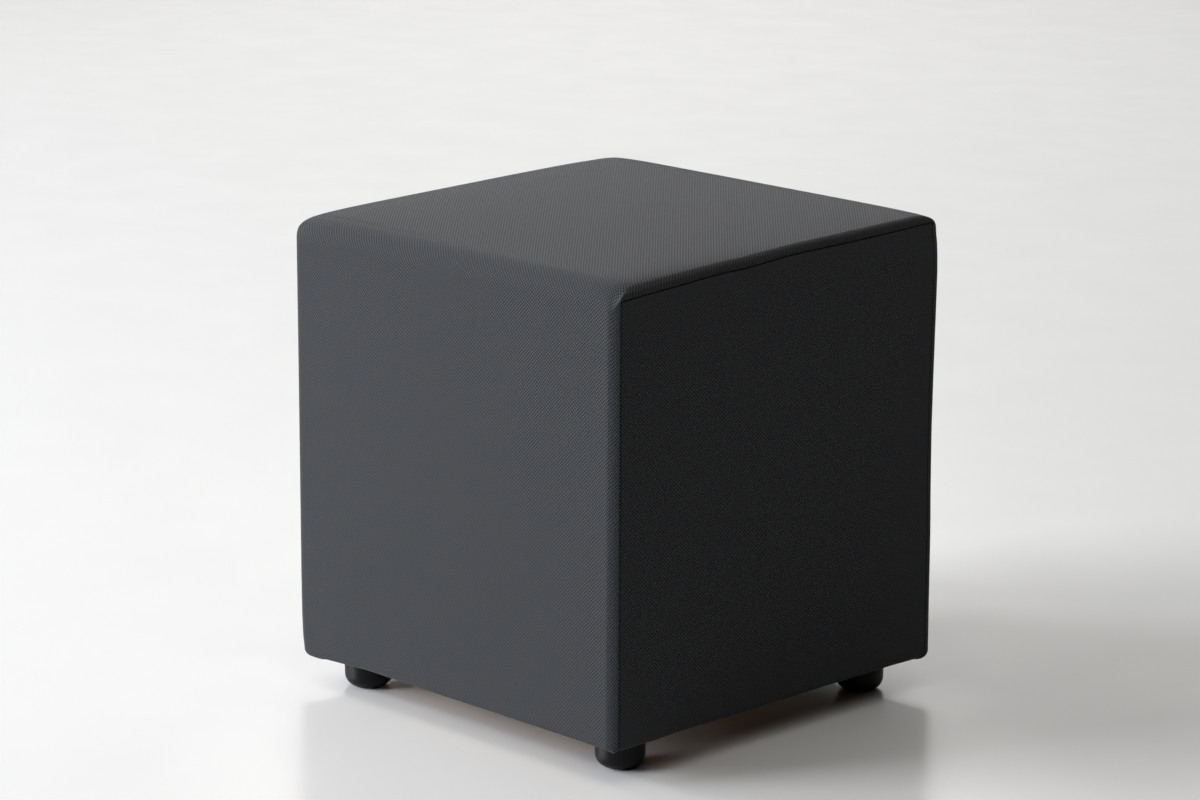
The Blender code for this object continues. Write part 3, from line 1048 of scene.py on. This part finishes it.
# The soft lamps, with angles from the stool in degrees and lengths in metres.
LAMPS = (
    # name, azimuth, elevation, distance, faces, width, height, watts, colour
    ("front_window_low", -33.0, 18.0, 4.6, "stool", 2.2, 1.8, 375.0, (0.99, 1.0, 1.06)),
    ("front_window_high", -30.0, 42.0, 4.6, "stool", 1.2, 1.1, 60.0, (1.0, 1.0, 1.0)),
    ("left_strip", -58.0, 24.0, 6.97, "wall", 2.4, 0.7, 530.0, (0.95, 1.02, 1.05)),
    ("left_window", -77.0, 52.0, 4.6, "stool", 1.6, 1.4, 48.0, (1.10, 1.0, 0.93)),
    ("overhead", 40.0, 72.0, 4.0, "stool", 4.3, 4.3, 118.0, (1.04, 1.0, 0.94)),
    ("far_ceiling", -134.0, 34.0, 5.4, "floor", 2.4, 2.4, 129.0, (1.06, 1.01, 0.95)),
    ("right_ceiling", -173.0, 49.0, 4.0, "floor", 2.0, 2.0, 34.0, (1.0, 1.0, 1.0)),
    ("back_ceiling", -134.5, 25.0, 9.6, "floor", 2.0, 2.0, 285.0, (1.06, 1.0, 0.97)),
)


def towards(azimuth, elevation):
    """Direction from the stool to a place on the studio's dome."""
    return Vector((
        math.sin(azimuth) * math.cos(elevation),
        -math.cos(azimuth) * math.cos(elevation),
        math.sin(elevation)))


def make_camera(stage):
    """The camera at the photograph's angle."""
    back = towards(CAMERA_AZIMUTH, CAMERA_ELEVATION)
    right = Vector((math.cos(CAMERA_AZIMUTH), math.sin(CAMERA_AZIMUTH), 0.0))
    up = back.cross(right)
    leaning_right = math.cos(CAMERA_ROLL) * right + math.sin(CAMERA_ROLL) * up
    leaning_up = -math.sin(CAMERA_ROLL) * right + math.cos(CAMERA_ROLL) * up
    turn = Matrix((leaning_right, leaning_up, back)).transposed()
    deselect_all()
    bpy.ops.object.camera_add(location=AIM + CAMERA_DISTANCE * back)
    camera = bpy.context.object
    camera.name = "camera"
    camera.rotation_euler = turn.to_euler()
    camera.data.lens = stage.lens
    camera.data.sensor_width = 36.0
    camera.data.clip_end = 60.0
    bpy.context.scene.camera = camera


def make_floor(stage):
    """A wide round floor."""
    deselect_all()
    bpy.ops.mesh.primitive_circle_add(vertices=96, radius=FLOOR_RADIUS, fill_type="NGON")
    floor = bpy.context.object
    floor.name = "floor"
    dress(floor, painted_floor(stage))


def make_lights(stage):
    """Windows in front and at the left, and soft ceilings over the stool and behind it."""
    for name, azimuth, elevation, distance, faces, width, height, watts, colour in LAMPS:
        way = towards(math.radians(azimuth), math.radians(elevation))
        facing = {"stool": -way, "floor": TO_FLOOR, "wall": TO_WALL}[faces]
        back = -facing.normalized()
        side = Vector((-back.y, back.x, 0.0)).normalized()     # the width stays level
        deselect_all()
        bpy.ops.object.light_add(type="AREA", location=distance * way)
        lamp = bpy.context.object
        lamp.name = name
        lamp.rotation_euler = Matrix((side, back.cross(side), back)).transposed().to_euler()
        lamp.data.shape = "RECTANGLE"
        lamp.data.size = width
        lamp.data.size_y = height
        lamp.data.energy = watts * stage.light
        lamp.data.color = colour


def make_room(stage):
    """The room's light: a pale wall behind, at the left, in a dark room."""
    world = bpy.data.worlds.new("pale_room")
    bpy.context.scene.world = world
    world.use_nodes = True
    tree = world.node_tree
    sky = tree.nodes["Background"]
    sky.inputs["Color"].default_value = ROOM_COLOUR
    place = tree.nodes.new("ShaderNodeTexCoord")
    facing = tree.nodes.new("ShaderNodeVectorMath")
    facing.operation = "DOT_PRODUCT"
    facing.inputs[1].default_value = towards(WALL_AZIMUTH, 0.0)
    tree.links.new(place.outputs["Generated"], facing.inputs[0])
    strength = tree.nodes.new("ShaderNodeMapRange")
    strength.interpolation_type = "SMOOTHSTEP"
    tree.links.new(facing.outputs["Value"], strength.inputs["Value"])
    for socket, number in zip(strength.inputs[1:5], (*WALL_FADE, stage.room, stage.wall)):
        socket.default_value = number
    tree.links.new(strength.outputs[0], sky.inputs["Strength"])


# ------------ the add-on
class POUF_PT_sidebar(bpy.types.Panel):
    """Lists the pieces of the stool and their settings."""

    bl_idname = "POUF_PT_sidebar"
    bl_label = "Cube Pouf Stool"
    bl_space_type = "VIEW_3D"
    bl_region_type = "UI"
    bl_category = "Pouf"

    def draw(self, context):
        layout = self.layout
        for operator in PIECES:
            layout.operator(operator.bl_idname)
        for name, settings in SETTINGS.items():
            box = layout.box()
            for key in settings.__annotations__:
                box.prop(getattr(context.scene, name), key)


SETTINGS = {
    "pouf_shape": PoufShape,
    "pouf_cloth": PoufCloth,
    "pouf_feet": PoufFeet,
    "pouf_stage": PoufStage,
}
PIECES = (POUF_OT_cover, POUF_OT_side_panels, POUF_OT_base_board, POUF_OT_feet, POUF_OT_stage)


def register():
    for settings in SETTINGS.values():
        bpy.utils.register_class(settings)
    for name, settings in SETTINGS.items():
        setattr(bpy.types.Scene, name, PointerProperty(type=settings))
    for operator in PIECES:
        bpy.utils.register_class(operator)
    bpy.utils.register_class(POUF_PT_sidebar)


def unregister():
    bpy.utils.unregister_class(POUF_PT_sidebar)
    for operator in reversed(PIECES):
        bpy.utils.unregister_class(operator)
    for name, settings in SETTINGS.items():
        delattr(bpy.types.Scene, name)
        bpy.utils.unregister_class(settings)


def main():
    """Build the whole stool and its stage."""
    register()
    bpy.ops.pouf.cover()
    bpy.ops.pouf.side_panels()
    bpy.ops.pouf.base_board()
    bpy.ops.pouf.feet()
    bpy.ops.pouf.stage()


if __name__ == "__main__":
    main()
